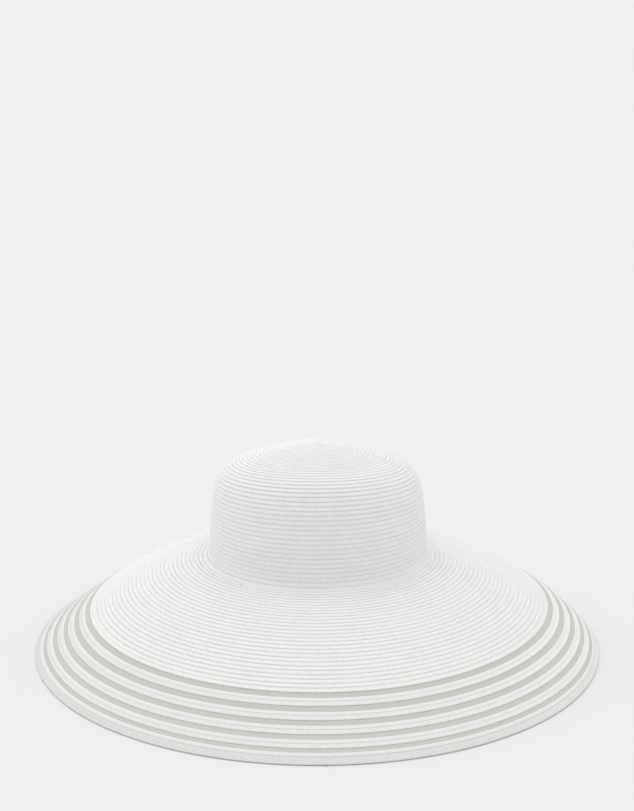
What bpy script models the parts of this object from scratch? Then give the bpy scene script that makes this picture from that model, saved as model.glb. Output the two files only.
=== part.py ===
"""A sun hat with a round crown and a wide drooping brim, sewn from white straw braid.

Lengths are in metres and +Z is up. The origin lies on the surface that the rim rests on, under
the middle of the hat. The front faces -Y, and the oval is longer along Y than along X.

The inner brim is rows of braid that lap like shingles, each row lying on the next one out.
Beyond it five sheer ribbons alternate with five bands of braid, and the last band is the rim.
"""

import math
from bisect import bisect_left

import bmesh
import bpy
from mathutils import Vector

# Crown, measured outside
CROWN_BREADTH = 0.177
CROWN_LENGTH = 0.193
CROWN_HEIGHT = 0.090
CROWN_ROWS = 46
FOOT_FLARE = 0.004

# Brim, measured down its slope from the crown's foot to the rim
INNER_ROWS = 28
BRAID_PITCH = 0.00355
BANDS = 5
SHEER_GAP = 0.0041
BAND_BRAID = 0.0059
RIM_BRAID = 0.0070
BAND_LAP = 0.0017
BRIM_DROP = 0.065

# The rim's edge, which the hat rests on
RIM_EDGE = 0.0010
REST_WIDTH = 0.0015

# Walls
BRAID_WALL = 0.0018
RIB_STEP = 0.0006
BAND_WALL = 0.0012
SHEER_WALL = 0.0010
CLEARANCE = 0.0003

# Fineness of the solids: sections round the hat, braid rows that one rib stands for, the share
# of a rib that its step takes, rings of points on the inner faces, and points down a profile
SECTIONS = 44
ROWS_IN_RIB = 2
RISER = 0.12
LINING_RINGS = 12
UNDERSIDE_RINGS = 7
PROFILE_STEPS = 120
NORMAL_STEP = 0.004
REACH_ERROR = 1e-7
SHARP_ANGLE = math.radians(35)

# Crown sections from the foot to the top: height and radius as shares of the crown's own
# height and half widths, and how much of the foot's flare is left
CROWN_SECTIONS = (
    ("up", "side", "front", "flare"),
    (0.000, 1.000, 1.000, 1.00),
    (0.012, 1.000, 1.000, 0.50),
    (0.035, 1.000, 1.000, 0.18),
    (0.080, 1.000, 0.999, 0.00),
    (0.210, 0.994, 0.996, 0.00),
    (0.340, 0.983, 0.987, 0.00),
    (0.490, 0.966, 0.960, 0.00),
    (0.600, 0.949, 0.936, 0.00),
    (0.705, 0.917, 0.898, 0.00),
    (0.780, 0.868, 0.856, 0.00),
    (0.843, 0.775, 0.785, 0.00),
    (0.885, 0.648, 0.692, 0.00),
    (0.925, 0.482, 0.560, 0.00),
    (0.958, 0.335, 0.415, 0.00),
    (0.982, 0.210, 0.265, 0.00),
    (0.995, 0.090, 0.110, 0.00),
    (1.000, 0.000, 0.000, 0.00),
)

# Brim sections from the crown's foot to the rim: reach as a share of the whole reach, and how
# far each side has drooped by then, as a share of the whole drop
BRIM_SECTIONS = (
    ("out", "left", "right", "front", "back"),
    (0.00, 0.000, 0.000, 0.000, 0.000),
    (0.10, 0.020, 0.019, 0.042, 0.007),
    (0.25, 0.116, 0.104, 0.127, 0.050),
    (0.40, 0.255, 0.224, 0.254, 0.134),
    (0.55, 0.408, 0.359, 0.413, 0.264),
    (0.70, 0.594, 0.512, 0.586, 0.442),
    (0.80, 0.733, 0.637, 0.709, 0.594),
    (0.90, 0.868, 0.796, 0.848, 0.775),
    (1.00, 1.000, 1.000, 1.000, 1.000),
)

# Sizes that follow
INNER_WIDTH = INNER_ROWS * BRAID_PITCH
BRIM_WIDTH = INNER_WIDTH + BANDS * SHEER_GAP + (BANDS - 1) * BAND_BRAID + RIM_BRAID
FOOT_LEVEL = RIM_EDGE + BRIM_DROP
ANGLES = [2 * math.pi * place / SECTIONS for place in range(SECTIONS)]
# Ribbons and bands of braid tilt alike, enough that each end passes under its neighbour
LAP_TILT = max(
    (BAND_WALL + CLEARANCE) / (SHEER_GAP + BAND_LAP),
    (SHEER_WALL + CLEARANCE) / (BAND_BRAID - BAND_LAP),
)

# Colour, roughness and opacity
WHITE_BRAID = ((0.87, 0.865, 0.855), 0.75, 1.0)
SHEER_RIBBON = ((0.72, 0.72, 0.70), 0.55, 0.6)


def column(table, heading):
    """The numbers under one heading of a table."""
    place = table[0].index(heading)
    return [row[place] for row in table[1:]]


def smooth_read(values, place):
    """The value at a fractional place in a list, on a curve through its entries."""
    step = min(int(place), len(values) - 2)
    part = place - step
    start, end = values[step], values[step + 1]
    leave = (end - values[step - 1]) / 2 if step else end - start
    arrive = (values[step + 2] - start) / 2 if step + 2 < len(values) else end - start
    cubed, squared = part**3, part**2
    return (
        start * (2 * cubed - 3 * squared + 1)
        + leave * (cubed - 2 * squared + part)
        + end * (3 * squared - 2 * cubed)
        + arrive * (cubed - squared)
    )


def lengths_along(points):
    """The distance walked from the first point to each point of a line."""
    walked = [0.0]
    for before, after in zip(points, points[1:]):
        walked.append(walked[-1] + (after - before).length)
    return walked


def places(count):
    """Evenly spaced fractional places in a table of this many rows."""
    return [(count - 1) * step / PROFILE_STEPS for step in range(PROFILE_STEPS + 1)]


def blend(angle, side, end):
    """A value part way round the oval, from its value at the side and at the front or back."""
    return side * math.cos(angle) ** 2 + end * math.sin(angle) ** 2


def crown_line(angle):
    """The crown's outer surface from foot to top, in the upright plane at one angle."""
    ups = column(CROWN_SECTIONS, "up")
    sides = column(CROWN_SECTIONS, "side")
    fronts = column(CROWN_SECTIONS, "front")
    flares = column(CROWN_SECTIONS, "flare")
    points = []
    for place in places(len(ups)):
        share = blend(angle, smooth_read(sides, place), smooth_read(fronts, place))
        flare = FOOT_FLARE * smooth_read(flares, place)
        points.append(
            Vector(
                (
                    (CROWN_BREADTH / 2 * share + flare) * math.cos(angle),
                    (CROWN_LENGTH / 2 * share + flare) * math.sin(angle),
                    FOOT_LEVEL + CROWN_HEIGHT * smooth_read(ups, place),
                )
            )
        )
    return points


def droop(angle):
    """The share of the drop that each section of the brim has reached at one angle."""
    side = column(BRIM_SECTIONS, "right" if math.cos(angle) > 0 else "left")
    end = column(BRIM_SECTIONS, "front" if math.sin(angle) < 0 else "back")
    return [blend(angle, *pair) for pair in zip(side, end)]


def brim_curve(reach, drops):
    """The brim's slope as points of distance out and height, for a given reach."""
    outs = column(BRIM_SECTIONS, "out")
    return [
        Vector((reach * smooth_read(outs, place), -BRIM_DROP * smooth_read(drops, place)))
        for place in places(len(outs))
    ]


def brim_reach(drops):
    """How far out the rim is when the brim's whole width droops like this."""
    low, high = 0.0, BRIM_WIDTH
    while high - low > REACH_ERROR:
        middle = (low + high) / 2
        if lengths_along(brim_curve(middle, drops))[-1] < BRIM_WIDTH:
            low = middle
        else:
            high = middle
    return low


def brim_line(angle):
    """The brim's top surface from the crown's foot to the rim, at one angle."""
    drops = droop(angle)
    points = []
    for out, height in brim_curve(brim_reach(drops), drops):
        points.append(
            Vector(
                (
                    (CROWN_BREADTH / 2 + FOOT_FLARE + out) * math.cos(angle),
                    (CROWN_LENGTH / 2 + FOOT_FLARE + out) * math.sin(angle),
                    FOOT_LEVEL + height,
                )
            )
        )
    return points


class Sheet:
    """A surface round the oval, held as one line of points for each section."""

    def __init__(self, line, facing):
        self.lines = [line(angle) for angle in ANGLES]
        self.walked = [lengths_along(points) for points in self.lines]
        self.facing = facing

    def on_surface(self, section, share):
        """The point at a share of the way along a section's line."""
        points = self.lines[section % SECTIONS]
        walked = self.walked[section % SECTIONS]
        target = share * walked[-1]
        after = min(max(bisect_left(walked, target), 1), len(walked) - 1)
        part = (target - walked[after - 1]) / (walked[after] - walked[after - 1])
        return points[after - 1].lerp(points[after], part)

    def inside(self, section, share, depth):
        """The point at a depth under the surface."""
        near = max(share - NORMAL_STEP, 0.0)
        far = min(share + NORMAL_STEP, 1.0)
        along = self.on_surface(section, far) - self.on_surface(section, near)
        around = self.on_surface(section + 1, share) - self.on_surface(section - 1, share)
        normal = around.cross(along).normalized() * self.facing
        return self.on_surface(section, share) - normal * depth

    def ring(self, share, depth):
        """The points at a share and a depth, one in each section."""
        return [self.inside(section, share, depth) for section in range(SECTIONS)]


def add_material(name, finish):
    """A Principled material."""
    color, roughness, opacity = finish
    made = bpy.data.materials.new(name)
    made.use_nodes = True
    shader = made.node_tree.nodes["Principled BSDF"]
    shader.inputs["Base Color"].default_value = (*color, 1)
    shader.inputs["Roughness"].default_value = roughness
    shader.inputs["Metallic"].default_value = 0
    shader.inputs["Alpha"].default_value = opacity
    return made


def skin(mesh, loops):
    """Faces between each loop of points and the next."""
    for near, far in zip(loops, loops[1:]):
        for place in range(SECTIONS):
            after = (place + 1) % SECTIONS
            mesh.faces.new((near[place], near[after], far[after], far[place]))


def close_over(mesh, loop, tip):
    """Faces from a loop of points to one point in its middle."""
    middle = mesh.verts.new(tip)
    for place in range(SECTIONS):
        mesh.faces.new((loop[place], loop[(place + 1) % SECTIONS], middle))


def add_solid(name, rings, finish, hat, tips=None):
    """One solid from rings of points, closed by its first ring again or by a point at each end."""
    mesh = bmesh.new()
    loops = [[mesh.verts.new(point) for point in ring] for ring in rings]
    if tips:
        skin(mesh, loops)
        close_over(mesh, loops[0], tips[0])
        close_over(mesh, loops[-1], tips[1])
    else:
        skin(mesh, loops + loops[:1])
    bmesh.ops.recalc_face_normals(mesh, faces=mesh.faces)
    data = bpy.data.meshes.new(name)
    mesh.to_mesh(data)
    mesh.free()
    data.shade_smooth()
    data.set_sharp_from_angle(angle=SHARP_ANGLE)
    data.materials.append(add_material(name + "_finish", finish))
    solid = bpy.data.objects.new(name, data)
    solid.parent = hat
    bpy.context.scene.collection.objects.link(solid)


def add_crown(crown, hat):
    """The crown: ribs of lapped braid outside, each lying on the one below, and smooth inside."""
    ribs = CROWN_ROWS // ROWS_IN_RIB
    rings = []
    for place in reversed(range(LINING_RINGS)):
        rings.append(crown.ring(place / LINING_RINGS, BRAID_WALL))
    for rib in range(ribs - 1):
        rings.append(crown.ring(rib / ribs, 0))
        rings.append(crown.ring((rib + 1 - RISER) / ribs, RIB_STEP))
    rings.append(crown.ring((ribs - 1) / ribs, 0))
    top = crown.on_surface(0, 1)
    tips = (top - Vector((0, 0, BRAID_WALL)), top - Vector((0, 0, RIB_STEP)))
    add_solid("crown", rings, WHITE_BRAID, hat, tips)


def add_inner_brim(brim, hat):
    """The close rows round the crown. Each rib lies on the next one out."""
    ribs = INNER_ROWS // ROWS_IN_RIB
    start = CLEARANCE / BRIM_WIDTH
    end = INNER_WIDTH / BRIM_WIDTH
    rings = [brim.ring(start, RIB_STEP)]
    for rib in range(ribs):
        if rib:
            rings.append(brim.ring(end * (rib + RISER) / ribs, RIB_STEP))
        rings.append(brim.ring(end * (rib + 1) / ribs, 0))
    rings.append(brim.ring(end, BAND_WALL))
    lap_start = end - BAND_LAP / BRIM_WIDTH
    rings.append(brim.ring(lap_start, BAND_WALL + LAP_TILT * BAND_LAP))
    for place in reversed(range(UNDERSIDE_RINGS)):
        share = start + (lap_start - start) * place / UNDERSIDE_RINGS
        rings.append(brim.ring(share, BRAID_WALL))
    add_solid("inner_brim", rings, WHITE_BRAID, hat)


def band_rings(brim, start, end, wall):
    """A flat band whose inner edge lies deeper than its outer edge. Start and end are lengths."""
    depth = LAP_TILT * (end - start)
    return [
        brim.ring(start / BRIM_WIDTH, depth),
        brim.ring(end / BRIM_WIDTH, 0),
        brim.ring(end / BRIM_WIDTH, wall),
        brim.ring(start / BRIM_WIDTH, depth + wall),
    ]


def rim_rings(brim, start):
    """The outermost band of braid, whose edge is cut level so that it rests flat."""
    top, edge, _, under = band_rings(brim, start, BRIM_WIDTH, BAND_WALL)
    floor = [Vector((point.x, point.y, 0)) for point in edge]
    inward = [Vector((math.cos(angle), math.sin(angle), 0)) * REST_WIDTH for angle in ANGLES]
    return [top, edge, floor, [point - step for point, step in zip(floor, inward)], under]


def add_bands(brim, hat):
    """Sheer ribbons and bands of braid by turns. Each passes under the one inside it."""
    edge = INNER_WIDTH
    for number in range(1, BANDS + 1):
        start = edge + SHEER_GAP
        ribbon = band_rings(brim, edge - BAND_LAP, start + BAND_LAP, SHEER_WALL)
        add_solid(f"sheer_ribbon_{number}", ribbon, SHEER_RIBBON, hat)
        if number < BANDS:
            edge = start + BAND_BRAID
            band = band_rings(brim, start, edge, BAND_WALL)
            add_solid(f"braid_band_{number}", band, WHITE_BRAID, hat)
        else:
            add_solid("rim_band", rim_rings(brim, start), WHITE_BRAID, hat)


def rim_middle(brim):
    """The middle of the rim on plan."""
    rim = [points[-1] for points in brim.lines]
    xs = [point.x for point in rim]
    ys = [point.y for point in rim]
    return Vector(((min(xs) + max(xs)) / 2, (min(ys) + max(ys)) / 2, 0))


def main():
    for thing in list(bpy.data.objects):
        bpy.data.objects.remove(thing)
    crown = Sheet(crown_line, 1)
    brim = Sheet(brim_line, -1)
    hat = bpy.data.objects.new("hat", None)
    hat.location = -rim_middle(brim)
    bpy.context.scene.collection.objects.link(hat)
    add_crown(crown, hat)
    add_inner_brim(brim, hat)
    add_bands(brim, hat)


main()
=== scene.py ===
"""The looks of the sun hat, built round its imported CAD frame.

Lengths are in metres and +Z is up. The front of the hat faces -Y and stands on the floor at z = 0.
The braid is one long plait, sewn in a spiral down the crown and out over the brim. Beyond it five
sheer ribbons alternate with five rings of the same plait, and the last ring is the rim.
"""

import math  # noqa: E402

import bpy  # noqa: E402
import numpy as np  # noqa: E402
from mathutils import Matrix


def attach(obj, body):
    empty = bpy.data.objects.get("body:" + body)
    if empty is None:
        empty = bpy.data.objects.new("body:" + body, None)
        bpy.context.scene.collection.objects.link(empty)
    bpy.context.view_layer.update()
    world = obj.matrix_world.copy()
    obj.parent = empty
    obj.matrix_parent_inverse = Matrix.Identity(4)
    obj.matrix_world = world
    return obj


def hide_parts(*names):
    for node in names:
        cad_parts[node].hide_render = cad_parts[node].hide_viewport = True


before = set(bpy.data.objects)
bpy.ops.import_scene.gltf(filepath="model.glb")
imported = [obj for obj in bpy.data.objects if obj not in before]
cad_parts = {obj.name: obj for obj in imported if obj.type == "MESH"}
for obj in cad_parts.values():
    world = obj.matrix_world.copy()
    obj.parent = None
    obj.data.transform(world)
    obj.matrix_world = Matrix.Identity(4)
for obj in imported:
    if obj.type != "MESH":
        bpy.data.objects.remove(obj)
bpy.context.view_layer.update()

# Forms of the hat, as in the imported CAD model but for a foot that turns a little more sharply
CROWN_BREADTH = 0.177
CROWN_LENGTH = 0.193
CROWN_HEIGHT = 0.090
CROWN_ROWS = 46
FOOT_FLARE = 0.004
INNER_ROWS = 28
BRAID_PITCH = 0.00355
BRIM_WIDTH = 0.1505
BRIM_DROP = 0.065
RIM_EDGE = 0.0010
FOOT_LEVEL = RIM_EDGE + BRIM_DROP
INNER_WIDTH = INNER_ROWS * BRAID_PITCH

# Crown from foot to top: height, radius at the side and at the front, and flare left at the foot
CROWN_SECTIONS = np.array(
    (
        (0.000, 1.000, 1.000, 1.00),
        (0.012, 1.000, 1.000, 0.42),
        (0.035, 1.000, 1.000, 0.12),
        (0.080, 1.000, 0.999, 0.00),
        (0.210, 0.994, 0.996, 0.00),
        (0.340, 0.983, 0.987, 0.00),
        (0.490, 0.966, 0.960, 0.00),
        (0.600, 0.949, 0.936, 0.00),
        (0.705, 0.917, 0.898, 0.00),
        (0.780, 0.868, 0.856, 0.00),
        (0.843, 0.775, 0.785, 0.00),
        (0.885, 0.648, 0.692, 0.00),
        (0.925, 0.482, 0.560, 0.00),
        (0.958, 0.335, 0.415, 0.00),
        (0.982, 0.210, 0.265, 0.00),
        (0.995, 0.090, 0.110, 0.00),
        (1.000, 0.000, 0.000, 0.00),
    )
)

# Brim from foot to rim: reach, and droop at the left, right, front and back
BRIM_SECTIONS = np.array(
    (
        (0.00, 0.000, 0.000, 0.000, 0.000),
        (0.10, 0.020, 0.019, 0.042, 0.007),
        (0.25, 0.116, 0.104, 0.127, 0.050),
        (0.40, 0.255, 0.224, 0.254, 0.134),
        (0.55, 0.408, 0.359, 0.413, 0.264),
        (0.70, 0.594, 0.512, 0.586, 0.442),
        (0.80, 0.733, 0.637, 0.709, 0.594),
        (0.90, 0.868, 0.796, 0.848, 0.775),
        (1.00, 1.000, 1.000, 1.000, 1.000),
    )
)

# Widths down the slope of each sheer gap and of the ring of plait after it
BANDS = (
    (0.00426, 0.00607),
    (0.00445, 0.00603),
    (0.00406, 0.00595),
    (0.00378, 0.00574),
    (0.00300, None),
)

# Fineness of the surface that the rows lie on: steps round it and down each slope, reads of each
# table, and halvings in the search for the brim's reach
TURN_STEPS = 720
SLOPE_STEPS = 480
CROWN_READS = 481
BRIM_READS = 241
HALVINGS = 24

# The angle that faces the front, where every piece starts
FRONT = -math.pi / 2

# Rough radius of the crown's foot, near enough for counting teeth and stitches round a ring
FOOT_RADIUS = 0.1

# The plait: one tooth along its edge, and the width and thickness of a row
TOOTH = 0.0021
PLAIT_WIDTH = 0.0054
PLAIT_THICK = 0.00036

# Turns from the top, and how thick the rows stand there, because the top ones are pressed flatter
PRESSED = ((0, 0.4), (8, 0.6), (17, 1.0))

# Where the rows start, where they part into two pieces on the brim, and how far the last one runs on
FIRST_TURN = 1.6
PARTING_TURN = CROWN_ROWS + 15
LAST_TURN = CROWN_ROWS + INNER_ROWS + 0.97

# Cross-section of a sewn row, over its top from the outer edge inward and back underneath: distance
# across, thicknesses over where it would lie flat, and how far each tooth pushes it out and lifts it
ROW_SECTION = np.array(
    (
        (0.00003, -1.00, 0.00018, 0.00000),
        (0.00030, -0.12, 0.00020, 0.00006),
        (0.00200, 0.04, 0.00000, -0.00010),
        (PLAIT_WIDTH, -0.10, 0.00000, 0.00000),
        (0.00220, -0.95, 0.00000, 0.00000),
    )
)

# The knot that the spiral starts from: radius, height, how deep it sits, points round it, and how
# often its ridge runs round it and how far that stands out
KNOT_RADIUS = 0.0042
KNOT_HEIGHT = 0.0003
KNOT_SINK = 0.00024
KNOT_SIDES = 48
KNOT_TURNS = 2
KNOT_RIDGE = 0.35

# The knot from the middle of its underside to the middle of its top: shares of its radius and height
KNOT_SECTION = (
    (0.10, -1.00),
    (0.60, -1.00),
    (0.95, -0.70),
    (1.00, -0.20),
    (0.94, 0.35),
    (0.84, 0.60),
    (0.72, 0.78),
    (0.58, 0.90),
    (0.44, 0.97),
    (0.30, 1.00),
    (0.18, 1.00),
    (0.10, 1.00),
)

# The rings of plait: thickness, reach of a tooth, how far down the rim's outer edge goes, and how far
# the outer edge of a ring and of the rim tucks in
BAND_THICK = 0.0005
TOOTH_REACH = 0.00016
RIM_FOOT = 0.95 * RIM_EDGE
BAND_TUCK = 0.00004
RIM_TUCK = -0.0001

# The ribbons: thickness, lap under the plait, width of the folded edge and reach of its waves, the
# weave's threads, and points round a ring
CLOTH = 0.00016
UNDER_LAP = 0.0023
HEM = 0.0027
HEM_WAVE = 0.00010
THREAD = 0.0004
RIBBON_COLUMNS = 720

# The stitches along the ribbons' folded edges: one step from start to start, length, radius, how
# far they lift off the surface, and how far in from the folded edge they run
STITCH_STEP = 0.0031
STITCH_LENGTH = 0.0022
STITCH_RADIUS = 0.00014
STITCH_LIFT = 0.00020
STITCH_INSET = 0.0007

# Faces of one stitch, which has a point at each end and four round its middle
STITCH_FACES = np.array(
    ((0, 1, 2), (0, 2, 3), (0, 3, 4), (0, 4, 1), (5, 2, 1), (5, 3, 2), (5, 4, 3), (5, 1, 4))
)

# Cut ends of the sewing thread, at the front and the left of the rim and at the crown's foot: the
# piece's name, its node and the points that it runs through. Below, radius, sides and slimness of tips
THREAD_ENDS = (
    (
        "rim_thread_front",
        "rim_band",
        ((0.0048, -0.2322, 0.0010), (0.0052, -0.2334, 0.0009), (0.0060, -0.2338, 0.0005)),
    ),
    (
        "rim_thread_left",
        "rim_band",
        ((-0.1997, -0.1059, 0.0012), (-0.2007, -0.1066, 0.0010), (-0.2011, -0.1061, 0.0006)),
    ),
    (
        "foot_thread",
        "inner_brim",
        ((-0.0566, -0.0815, 0.0652), (-0.0567, -0.0812, 0.0658), (-0.0565, -0.0808, 0.0662)),
    ),
)
END_RADIUS = 0.0003
END_SIDES = 6
END_TAPER = 0.5

# The straws in a plait: slant in teeth along for each tooth across, strength of their relief, tone at
# the top of a straw, and how much the tone varies from straw to straw and from patch to patch
STRAW_SLANT = 0.85
STRAW_RELIEF = 0.8
STRAW_TONE = 0.96
STRAW_VARIES = 0.05
STRAW_PATCHES = (45.0, 3.0)
PATCH_VARIES = 0.03

# The seam in each row: distance in from the edge and half its width in teeth, stitches for each
# tooth along, and the share of a stitch's step that is thread
SEAM_PLACE = 0.43
SEAM_HALF = 0.07
SEAM_BEAT = 0.6
SEAM_FILL = 0.65

# The ribbon's see-through weave: cover between threads, and what the threads add to it
SHEER_COVER = 0.435
SHEER_THREADS = 0.06

# Cloth and thread: strength and depth of their relief, and the tone of the dense kind
CLOTH_RELIEF = 0.4
CLOTH_DEPTH = 0.00005
DENSE_TONE = 0.96
DENSE_VARIES = 0.08
DENSE_PATCHES = (300.0, 2.0)

# Soft lights: strength, tilt from overhead, turn to the side it comes from, and width in degrees
SKY = 0.871
LIGHTS = (
    ("top_light", 0.46, 6, 197, 40),
    ("left_light", 0.36, 65, 262, 60),
    ("right_light", 0.29, 65, 98, 60),
    ("back_light", 0.145, 45, 190, 60),
)

# The floor: its size, and how much lighter it is to make up for the shade that the hat casts on it
FLOOR_SIZE = 200
FLOOR_LIFT = 1.006

# The camera: place, degrees that it looks down by, lens and sensor in millimetres, and far limit
CAMERA_PLACE = (-0.0001, -0.8659, 0.331)
CAMERA_DOWN = 9.44
CAMERA_LENS = 48.83
CAMERA_SENSOR = 36
CAMERA_FAR = 500


def smooth_read(values, count):
    """A column of a table read at evenly spaced places, on a curve through its entries."""
    place = np.linspace(0, len(values) - 1, count)
    step = np.minimum(place.astype(int), len(values) - 2)
    part = place - step
    slope = np.gradient(values)
    slope[0] = values[1] - values[0]
    slope[-1] = values[-1] - values[-2]
    start, end = values[step], values[step + 1]
    cubed, squared = part**3, part**2
    return (
        start * (2 * cubed - 3 * squared + 1)
        + slope[step] * (cubed - 2 * squared + part)
        + end * (3 * squared - 2 * cubed)
        + slope[step + 1] * (cubed - squared)
    )


def even_spacing(lines, count):
    """Each line of points, walked again in steps of even length."""
    legs = np.linalg.norm(np.diff(lines, axis=1), axis=2)
    walked = np.concatenate([np.zeros((len(lines), 1)), np.cumsum(legs, axis=1)], axis=1)
    shares = np.linspace(0, 1, count)
    return np.stack(
        [
            np.stack([np.interp(shares * far[-1], far, line[:, axis]) for axis in range(3)], axis=1)
            for far, line in zip(walked, lines)
        ]
    )


def turn_angles():
    """The angles of the lines that a surface is held by, one whole turn."""
    return np.linspace(0, 2 * math.pi, TURN_STEPS, endpoint=False)


def crown_lines():
    """The crown's outer surface as lines from foot to top, one for each angle."""
    up, side, front, flare = (smooth_read(values, CROWN_READS) for values in CROWN_SECTIONS.T)
    angle = turn_angles()[:, None]
    share = side * np.cos(angle) ** 2 + front * np.sin(angle) ** 2
    x = (CROWN_BREADTH / 2 * share + FOOT_FLARE * flare) * np.cos(angle)
    y = (CROWN_LENGTH / 2 * share + FOOT_FLARE * flare) * np.sin(angle)
    z = FOOT_LEVEL + CROWN_HEIGHT * np.broadcast_to(up, x.shape)
    return np.stack([x, y, z], axis=2)


def brim_lines():
    """The brim's top surface as lines from foot to rim, one for each angle."""
    out, left, right, front, back = (smooth_read(values, BRIM_READS) for values in BRIM_SECTIONS.T)
    angle = turn_angles()[:, None]
    side = np.where(np.cos(angle) > 0, right, left)
    end = np.where(np.sin(angle) < 0, front, back)
    fall = BRIM_DROP * (side * np.cos(angle) ** 2 + end * np.sin(angle) ** 2)
    low = np.zeros((len(angle), 1))
    high = np.full((len(angle), 1), BRIM_WIDTH)
    for _ in range(HALVINGS):
        reach = (low + high) / 2
        walked = np.hypot(np.diff(reach * out, axis=1), np.diff(fall, axis=1)).sum(1)[:, None]
        low = np.where(walked < BRIM_WIDTH, reach, low)
        high = np.where(walked < BRIM_WIDTH, high, reach)
    x = (CROWN_BREADTH / 2 + FOOT_FLARE + reach * out) * np.cos(angle)
    y = (CROWN_LENGTH / 2 + FOOT_FLARE + reach * out) * np.sin(angle)
    return np.stack([x, y, FOOT_LEVEL - fall], axis=2)


class Skin:
    """The hat's outer surface from the middle of its top to the rim.

    Its places down the slope run from 0 at the top to 1 at the crown's foot and 2 at the rim.
    """

    def __init__(self):
        crown = even_spacing(crown_lines()[:, ::-1], SLOPE_STEPS + 1)
        brim = even_spacing(brim_lines(), SLOPE_STEPS + 1)
        rim = brim[:, -1]
        middle = (rim.min(0) + rim.max(0)) / 2 * (1, 1, 0)
        self.points = np.concatenate([crown, brim[:, 1:]], axis=1) - middle
        self.heights = np.linalg.norm(np.diff(crown, axis=1), axis=2).sum(1)
        around = np.roll(self.points, -1, 0) - np.roll(self.points, 1, 0)
        down = np.gradient(self.points, axis=1)
        normals = np.cross(down, around)
        size = np.linalg.norm(normals, axis=2, keepdims=True)
        self.normals = np.where(size > 1e-12, normals / np.maximum(size, 1e-12), (0.0, 0.0, 1.0))

    def height(self, angle):
        """The length of the crown's slope, from its top to its foot."""
        turn = np.mod(angle / (2 * math.pi), 1.0) * TURN_STEPS
        return np.interp(turn, np.arange(TURN_STEPS + 1), np.append(self.heights, self.heights[0]))

    def place(self, angle, distance):
        """The place that lies this far down the slope from the crown's foot."""
        return 1 + np.where(distance < 0, distance / self.height(angle), distance / BRIM_WIDTH)

    def at(self, angle, place, lift):
        """Points at angles and places, this far off the surface."""
        turn = np.mod(angle / (2 * math.pi), 1.0) * TURN_STEPS
        slope = np.clip(place, 0.0, 2.0) * SLOPE_STEPS
        first = np.minimum(turn.astype(int), TURN_STEPS - 1)
        row = np.minimum(slope.astype(int), 2 * SLOPE_STEPS - 1)
        part, down = (turn - first)[..., None], (slope - row)[..., None]
        second = (first + 1) % TURN_STEPS

        def read(grid):
            near = grid[first, row] * (1 - part) + grid[second, row] * part
            far = grid[first, row + 1] * (1 - part) + grid[second, row + 1] * part
            return near * (1 - down) + far * down

        return read(self.points) + read(self.normals) * np.asarray(lift)[..., None]


def add_tube(name, loops, along, across, closed, material):
    """A solid strip through loops of points, with its lengths along and across as its UV map.

    The loops are joined end to end when closed, and otherwise get a cap at each end.
    """
    count, size = loops.shape[:2]
    spans = count if closed else count - 1
    column, point = np.meshgrid(np.arange(spans), np.arange(size), indexing="ij")
    after = (column + 1) % count
    beside = (point + 1) % size
    quads = np.stack(
        [
            column * size + point,
            after * size + point,
            after * size + beside,
            column * size + beside,
        ],
        axis=2,
    ).reshape(-1, 4)
    u = np.stack([along[column], along[column + 1], along[column + 1], along[column]], axis=2)
    v = np.stack([across[point], across[point], across[point + 1], across[point + 1]], axis=2)
    flat = np.stack([u, v], axis=3).reshape(-1, 4, 2)
    places = loops.reshape(-1, 3)
    one, two, three, four = (places[quads[:, corner]] for corner in range(4))
    outward = (np.cross(three - one, four - two) * (one + three)).sum() > 0
    if not outward:
        quads, flat = quads[:, ::-1], flat[:, ::-1]
    corners, flat = quads.reshape(-1), flat.reshape(-1, 2)
    sizes = np.full(len(quads), 4)
    if not closed:
        near, away = np.arange(size), (count - 1) * size + np.arange(size)
        ends = np.concatenate([near[::-1], away] if outward else [near, away[::-1]])
        corners = np.concatenate([corners, ends])
        sizes = np.concatenate([sizes, (size, size)])
        flat = np.concatenate([flat, np.zeros((2 * size, 2))])
    data = bpy.data.meshes.new(name)
    data.vertices.add(count * size)
    data.vertices.foreach_set("co", loops.reshape(-1).astype(np.float32))
    data.loops.add(len(corners))
    data.loops.foreach_set("vertex_index", corners.astype(np.int32))
    data.polygons.add(len(sizes))
    starts = np.concatenate([[0], np.cumsum(sizes)[:-1]])
    data.polygons.foreach_set("loop_start", starts.astype(np.int32))
    data.update(calc_edges=True)
    data.uv_layers.new(name="UVMap").data.foreach_set("uv", flat.reshape(-1).astype(np.float32))
    data.polygons.foreach_set("use_smooth", np.ones(len(sizes), bool))
    data.validate()
    data.materials.append(material)
    thing = bpy.data.objects.new(name, data)
    bpy.context.scene.collection.objects.link(thing)
    return thing


def row_edge(skin, turn):
    """The angle, and the distance down from the crown's foot, of the spiral's outer edge."""
    angle = FRONT - 2 * math.pi * turn
    crown = (turn / CROWN_ROWS - 1) * skin.height(angle)
    brim = np.minimum(turn - CROWN_ROWS, INNER_ROWS) * BRAID_PITCH
    return angle, np.where(turn < CROWN_ROWS, crown, brim)


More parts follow.
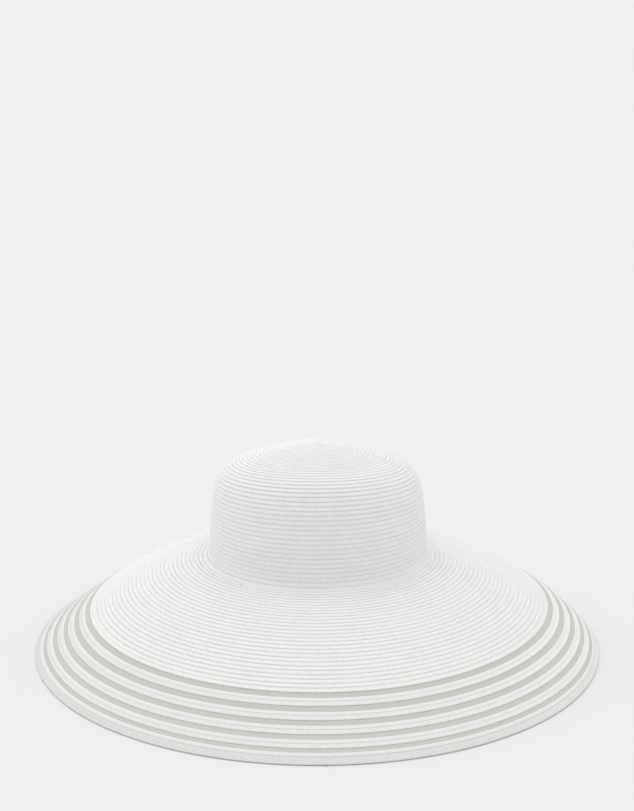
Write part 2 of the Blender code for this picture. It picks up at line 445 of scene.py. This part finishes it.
def spiral_strip(skin, name, first_turn, last_turn, material):
    """Rows of plait sewn in a spiral, each lying on the next one out.

    A turn is counted from the middle of the top, so the crown's foot is at its last row.
    """
    fine = np.linspace(first_turn, last_turn, int((last_turn - first_turn) * TURN_STEPS))
    angle, distance = row_edge(skin, fine)
    edge = skin.at(angle, skin.place(angle, distance), np.zeros(len(fine)))
    walked = np.concatenate([[0], np.cumsum(np.linalg.norm(np.diff(edge, axis=0), axis=1))])
    count = int(walked[-1] / TOOTH) * 2 + 1
    turn = np.interp(np.linspace(0, walked[-1], count), walked, fine)
    angle, distance = (values[:, None] for values in row_edge(skin, turn))
    sign = np.where(np.arange(count) % 2, 1.0, -1.0)[:, None]
    across, thick, push, rise = ROW_SECTION.T
    pressed = np.interp(turn, *zip(*PRESSED))[:, None]
    pitch = np.where(distance < 0, skin.height(angle) / CROWN_ROWS, BRAID_PITCH)
    place = skin.place(angle, distance - across + sign * push)
    lift = (PLAIT_THICK * (thick - across / pitch) + sign * rise) * pressed
    loops = skin.at(np.broadcast_to(angle, place.shape), place, lift)
    along = np.arange(count) / 2.0
    return add_tube(name, loops, along, np.append(across, 0.0) / TOOTH, False, material)


def coiled_knot(skin, name, material):
    """The start of the spiral, coiled up into a low dome with a ridge that runs round it."""
    share, up = np.array(KNOT_SECTION).T[:, :, None]
    angle = np.linspace(0, 2 * math.pi, KNOT_SIDES, endpoint=False)
    ridge = 1 + KNOT_RIDGE * np.cos(angle - 2 * math.pi * KNOT_TURNS * share)
    rise = KNOT_HEIGHT * up * np.where(up > 0, ridge, 1.0)
    x = KNOT_RADIUS * share * np.cos(angle)
    y = KNOT_RADIUS * CROWN_LENGTH / CROWN_BREADTH * share * np.sin(angle)
    top = skin.at(np.array(0.0), np.array(0.0), np.array(-KNOT_SINK))
    loops = top + np.stack([x, y, rise], axis=2)
    across = np.arange(KNOT_SIDES + 1) / 4.0
    return add_tube(name, loops, np.arange(len(share)) / 2.0, across, False, material)


def ring_strip(skin, name, sections, outer, columns, material, unit):
    """A closed ring whose cross-section is given from its outer edge inward, in metres."""
    angle = np.linspace(0, 2 * math.pi, columns, endpoint=False) + FRONT
    beat = np.arange(columns) % len(sections)
    shape = np.asarray(sections)[beat]
    place = skin.place(angle[:, None], outer - shape[..., 0])
    loops = skin.at(np.broadcast_to(angle[:, None], place.shape), place, shape[..., 1])
    u = np.arange(columns + 1) / len(sections)
    across = np.asarray(sections)[0][:, 0]
    v = np.append(across, 0.0) / unit
    return add_tube(name, loops, u, v, True, material)


def plait_sections(width, foot, tuck):
    """The cross-sections of a ring of plait at four places along each tooth.

    Each runs from its outer edge inward: distance across and lift. The outer edge goes down to foot
    and there tucks in under itself.
    """
    made = []
    for quarter in range(4):
        wave = math.cos(quarter * math.pi / 2)
        other = math.sin(quarter * math.pi / 2)
        tip = TOOTH_REACH * wave
        made.append(
            (
                (tuck - 0.5 * tip, -foot),
                (0.00008 - tip, -0.45 * BAND_THICK),
                (0.00055 - tip, -0.00002 + 0.00005 * wave),
                (0.00140, 0.00004 + 0.00015 * other),
                (0.00240, -0.00004 - 0.00015 * other),
                (0.00330, -0.00016 + 0.00008 * other),
                (width, -0.00020),
                (width, -0.00020 - BAND_THICK),
            )
        )
    return made


def ribbon_section(gap):
    """A ribbon's cross-section from its outer edge inward and back underneath: across and lift."""
    over = (
        (0.0004, -0.00030),
        (HEM - 0.0006, -0.00024),
        (HEM + 0.0003, -0.00026),
        (HEM + gap, -BAND_THICK - 0.00002),
        (HEM + gap + UNDER_LAP, -BAND_THICK - 0.00012),
    )
    return over + tuple((across, lift - CLOTH) for across, lift in reversed(over))


def hem_sections():
    """The cross-sections of a ribbon's folded edge at two places along each tooth: across and lift."""
    made = []
    for tip in (HEM_WAVE, -HEM_WAVE):
        made.append(
            (
                (0.00002 - tip, -0.00030),
                (0.00010 - tip, 0.00004),
                (0.00050 - tip, 0.00016),
                (HEM - 0.00030, 0.00010),
                (HEM - 0.00002, -0.00002),
                (HEM, -0.00030),
            )
        )
    return made


def stitches(skin, name, distance, material):
    """A ring of short stitches lying on the surface, each one a slim solid."""
    count = int(2 * math.pi * (FOOT_RADIUS + distance) / STITCH_STEP)
    middle = np.arange(count)[:, None] * 2 * math.pi / count + FRONT
    half = STITCH_LENGTH / 2 * 2 * math.pi / (count * STITCH_STEP)
    turn = np.array((-half, 0, 0, 0, 0, half))
    across = np.array((0, -1, 0, 1, 0, 0)) * STITCH_RADIUS
    lift = np.array((-1, 0, 1, 0, -1, -1)) * STITCH_RADIUS + STITCH_LIFT
    angle = middle + turn
    place = skin.place(angle, np.broadcast_to(distance + across, angle.shape))
    points = skin.at(angle, place, np.broadcast_to(lift, angle.shape)).reshape(-1, 3)
    faces = (np.arange(count)[:, None, None] * len(turn) + STITCH_FACES).reshape(-1, 3)
    one, two, three = (points[faces[:, corner]] for corner in range(3))
    if (np.cross(two - one, three - one) * one).sum() < 0:
        faces = faces[:, ::-1]
    data = bpy.data.meshes.new(name)
    data.from_pydata(points.tolist(), [], faces.tolist())
    data.materials.append(material)
    thing = bpy.data.objects.new(name, data)
    bpy.context.scene.collection.objects.link(thing)
    return thing


def thread_end(name, points, material):
    """A cut end of sewing thread through these points, as a slim tube with closed ends."""
    points = np.asarray(points, float)
    loops = []
    for index, point in enumerate(points):
        ahead = points[min(index + 1, len(points) - 1)] - points[max(index - 1, 0)]
        ahead /= np.linalg.norm(ahead)
        side = np.cross(ahead, (0.3, 0.2, 1.0))
        side /= np.linalg.norm(side)
        up = np.cross(side, ahead)
        angle = np.arange(END_SIDES)[:, None] * 2 * math.pi / END_SIDES
        share = END_TAPER if index in (0, len(points) - 1) else 1.0
        loops.append(point + END_RADIUS * share * (side * np.cos(angle) + up * np.sin(angle)))
    along = np.arange(len(points)) / 2.0
    across = np.arange(END_SIDES + 1) / END_SIDES
    return add_tube(name, np.array(loops), along, across, False, material)


class Nodes:
    """Short ways to add nodes to one material."""

    def __init__(self, material):
        self.tree = material.node_tree

    def new(self, kind, **settings):
        """A node of this kind."""
        node = self.tree.nodes.new(kind)
        for name, value in settings.items():
            setattr(node, name, value)
        return node

    def feed(self, socket, value):
        """The socket gets a number or colour, or is linked to another node's output."""
        if isinstance(value, bpy.types.NodeSocket):
            self.tree.links.new(value, socket)
        else:
            socket.default_value = value

    def math(self, operation, *values):
        """The result of arithmetic on numbers and outputs."""
        node = self.new("ShaderNodeMath", operation=operation)
        for socket, value in zip(node.inputs, values):
            self.feed(socket, value)
        return node.outputs[0]

    def flat_place(self):
        """How far along the strip and how far across it, from the UV map."""
        uv = self.new("ShaderNodeUVMap", uv_map="UVMap").outputs[0]
        split = self.new("ShaderNodeSeparateXYZ")
        self.feed(split.inputs[0], uv)
        return split.outputs[0], split.outputs[1]

    def patches(self, scale, detail):
        """Soft light and dark patches, from 0 to 1."""
        patch = self.new("ShaderNodeTexNoise")
        self.feed(patch.inputs["Vector"], self.new("ShaderNodeTexCoord").outputs["Object"])
        patch.inputs["Scale"].default_value = scale
        patch.inputs["Detail"].default_value = detail
        return patch.outputs["Fac"]

    def paint(self, shader, color, tone):
        """The colour, made lighter and darker by the tone."""
        scaled = self.new("ShaderNodeVectorMath", operation="SCALE")
        scaled.inputs[0].default_value = color
        self.feed(scaled.inputs["Scale"], tone)
        self.feed(shader.inputs["Base Color"], scaled.outputs[0])

    def relief(self, shader, height, strength, depth):
        """Fine relief, this deep where the height is 1."""
        bump = self.new("ShaderNodeBump")
        bump.inputs["Strength"].default_value = strength
        bump.inputs["Distance"].default_value = depth
        self.feed(bump.inputs["Height"], height)
        self.feed(shader.inputs["Normal"], bump.outputs[0])


def new_material(name, color, roughness):
    """A Principled material, and its nodes to build on."""
    made = bpy.data.materials.new(name)
    made.use_nodes = True
    shader = made.node_tree.nodes["Principled BSDF"]
    shader.inputs["Base Color"].default_value = (*color, 1)
    shader.inputs["Roughness"].default_value = roughness
    shader.inputs["Specular IOR Level"].default_value = 0.3
    return made, shader, Nodes(made)


def straw_ridge(nodes, value):
    """A rounded ridge across each straw, from 0 at its edges to 1 along its middle."""
    middle = nodes.math("SUBTRACT", nodes.math("FRACT", value), 0.5)
    squared = nodes.math("MULTIPLY", middle, middle)
    return nodes.math("SUBTRACT", 1.0, nodes.math("MULTIPLY", squared, 4.0))


def row_seam(nodes, along, across):
    """The seam just inside the plait's outer edge: 1 on a stitch and 0 beside it."""
    off_line = nodes.math("ABSOLUTE", nodes.math("SUBTRACT", across, SEAM_PLACE))
    on_line = nodes.math("LESS_THAN", off_line, SEAM_HALF)
    step = nodes.math("FRACT", nodes.math("MULTIPLY", along, SEAM_BEAT))
    return nodes.math("MULTIPLY", on_line, nodes.math("LESS_THAN", step, SEAM_FILL))


def braid_material(name, color, depth, crease_shade):
    """Flat straws plaited on the slant, with painted shade in the creases between them: the tone falls
    by the last number where the relief is low.
    """
    made, shader, nodes = new_material(name, color, 0.62)
    along, across = nodes.flat_place()
    slant = nodes.math("MULTIPLY", across, STRAW_SLANT)
    one = nodes.math("ADD", along, slant)
    other = nodes.math("SUBTRACT", along, slant)
    one_cell, other_cell = nodes.math("FLOOR", one), nodes.math("FLOOR", other)
    which = nodes.math("PINGPONG", nodes.math("ADD", one_cell, other_cell), 1.0)
    over = nodes.math("MULTIPLY", which, straw_ridge(nodes, one))
    under = nodes.math("MULTIPLY", nodes.math("SUBTRACT", 1.0, which), straw_ridge(nodes, other))
    straws = nodes.math("ADD", over, under)
    height = nodes.math("MAXIMUM", straws, row_seam(nodes, along, across))
    cell = nodes.new("ShaderNodeCombineXYZ")
    nodes.feed(cell.inputs[0], one_cell)
    nodes.feed(cell.inputs[1], other_cell)
    straw = nodes.new("ShaderNodeTexWhiteNoise", noise_dimensions="3D")
    nodes.feed(straw.inputs["Vector"], cell.outputs[0])
    # Painted shade: the tone falls by the crease share where the straws' relief is low, between the
    # straws, and stays full on their tops and on the seam's stitches.
    tone = nodes.math("ADD", STRAW_TONE - crease_shade, nodes.math("MULTIPLY", height, crease_shade))
    tone = nodes.math("ADD", tone, nodes.math("MULTIPLY", straw.outputs["Value"], STRAW_VARIES))
    patch = nodes.patches(*STRAW_PATCHES)
    tone = nodes.math("ADD", tone, nodes.math("MULTIPLY", patch, PATCH_VARIES))
    nodes.paint(shader, color, tone)
    nodes.relief(shader, height, STRAW_RELIEF, depth)
    return made


def ribbon_material(name, color):
    """Fine sheer cloth: crossed threads with light coming through between them."""
    made, shader, nodes = new_material(name, color, 0.5)
    along, across = nodes.flat_place()
    warp = nodes.math("PINGPONG", along, 0.5)
    weft = nodes.math("PINGPONG", across, 0.5)
    weave = nodes.math("ADD", warp, weft)
    cover = nodes.math("ADD", SHEER_COVER, nodes.math("MULTIPLY", weave, SHEER_THREADS))
    nodes.feed(shader.inputs["Alpha"], cover)
    nodes.relief(shader, weave, CLOTH_RELIEF, CLOTH_DEPTH)
    return made


def hem_material(name, color):
    """Thread or doubled ribbon, so dense that nothing shows through."""
    made, shader, nodes = new_material(name, color, 0.55)
    patch = nodes.patches(*DENSE_PATCHES)
    tone = nodes.math("ADD", DENSE_TONE, nodes.math("MULTIPLY", patch, DENSE_VARIES))
    nodes.paint(shader, color, tone)
    nodes.relief(shader, patch, CLOTH_RELIEF, CLOTH_DEPTH)
    return made


def keep(thing, node):
    """The piece moves with the hat, and stands for its CAD node."""
    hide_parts(node)
    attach(thing, "root")


def add_rows(skin):
    """The rows of braid from the crown's top to the first ribbon, and the knot they start from."""
    # Its last number is the painted shade in the creases between the straws.
    straw = braid_material("straw_rows", (0.927, 0.927, 0.913), 0.00022, 0.22)
    for name, node, first, last in (
        ("crown_braid", "crown", FIRST_TURN, CROWN_ROWS),
        ("inner_rows", "inner_brim", CROWN_ROWS, PARTING_TURN),
        ("outer_rows", "inner_brim", PARTING_TURN, LAST_TURN),
    ):
        keep(spiral_strip(skin, name, first, last, straw), node)
    keep(coiled_knot(skin, "crown_knot", straw), "crown")


def add_bands(skin):
    """The ribbons and the rings of plait between them, from the last row out to the rim."""
    # The last number of each plait material is the painted shade in the creases between the straws.
    band_straw = braid_material("straw_bands", (0.93, 0.93, 0.908), 0.00025, 0.32)
    # Painted shade: the rim is the same plait as the rings, painted darker for the weaker light on its
    # steep slope.
    shaded_rim_straw = braid_material("straw_rim_painted_shade", (0.824, 0.824, 0.811), 0.00025, 0.28)
    sheer = ribbon_material("sheer_cloth", (0.86, 0.863, 0.825))
    # Painted shade: the ribbons' folded edges are painted darker than the ribbon cloth and the cotton
    # thread, for the shade that falls between the rows; the fold by the rim is darker still.
    shaded_band_hem = hem_material("fold_cloth_painted_shade", (0.772, 0.772, 0.762))
    shaded_rim_hem = hem_material("rim_fold_painted_shade", (0.758, 0.758, 0.746))
    cotton = hem_material("cotton_thread", (0.86, 0.86, 0.85))
    edge = INNER_WIDTH
    for number, (gap, width) in enumerate(BANDS, 1):
        start = edge + gap
        if width:
            end, node, plait = start + width, f"braid_band_{number}", f"braid_plait_{number}"
            sections = plait_sections(end - start, BAND_THICK, BAND_TUCK)
            plaited, folded = band_straw, shaded_band_hem
        else:
            end, node, plait = BRIM_WIDTH, "rim_band", "rim_plait"
            sections = plait_sections(end - start, RIM_FOOT, RIM_TUCK)
            plaited, folded = shaded_rim_straw, shaded_rim_hem
        teeth = int(2 * math.pi * (FOOT_RADIUS + end) / TOOTH)
        keep(ring_strip(skin, plait, sections, end, 4 * teeth, plaited, TOOTH), node)
        node, outer = f"sheer_ribbon_{number}", start + HEM
        section = (ribbon_section(gap),)
        ribbon = ring_strip(skin, f"ribbon_{number}", section, outer, RIBBON_COLUMNS, sheer, THREAD)
        keep(ribbon, node)
        folds = hem_sections()
        hem = ring_strip(skin, f"ribbon_hem_{number}", folds, outer, 2 * teeth, folded, THREAD)
        keep(hem, node)
        seam = stitches(skin, f"hem_stitches_{number}", outer - STITCH_INSET, cotton)
        keep(seam, node)
        edge = end


def add_thread_ends():
    """The cut ends of the sewing thread."""
    cut_thread = hem_material("cut_thread", (0.42, 0.42, 0.41))
    for name, node, points in THREAD_ENDS:
        keep(thread_end(name, points, cut_thread), node)


def add_light():
    """The sky and the soft lights. Gives the tone of an open floor that looks as light as the sky."""
    world = bpy.data.worlds.new("studio")
    bpy.context.scene.world = world
    world.use_nodes = True
    world.node_tree.nodes["Background"].inputs["Color"].default_value = (SKY, SKY, SKY, 1)
    fall = 0.0
    for name, strength, tilt, side, width in LIGHTS:
        light = bpy.data.objects.new(name, bpy.data.lights.new(name, "SUN"))
        light.data.energy = strength
        light.data.angle = math.radians(width)
        light.rotation_euler = (math.radians(tilt), 0, math.radians(side))
        bpy.context.scene.collection.objects.link(light)
        fall += strength * math.cos(math.radians(tilt)) / math.pi
    return SKY / (SKY + fall)


def add_floor(tone):
    """A plain matt floor of this tone."""
    bpy.ops.mesh.primitive_plane_add(size=FLOOR_SIZE)
    floor = bpy.context.object
    floor.name = "floor"
    paint, shader, _ = new_material("floor_paint", (tone,) * 3, 1.0)
    shader.inputs["Specular IOR Level"].default_value = 0.0
    floor.data.materials.append(paint)


def add_camera():
    """The camera at the photo's angle, and plain colours."""
    camera = bpy.data.objects.new("camera", bpy.data.cameras.new("camera"))
    camera.location = CAMERA_PLACE
    camera.rotation_euler = (math.radians(90 - CAMERA_DOWN), 0, 0)
    camera.data.lens = CAMERA_LENS
    camera.data.sensor_width = CAMERA_SENSOR
    camera.data.clip_end = CAMERA_FAR
    bpy.context.scene.collection.objects.link(camera)
    bpy.context.scene.camera = camera
    bpy.context.scene.view_settings.view_transform = "Standard"


hat = Skin()
add_rows(hat)
add_bands(hat)
add_thread_ends()
add_floor(FLOOR_LIFT * add_light())
add_camera()
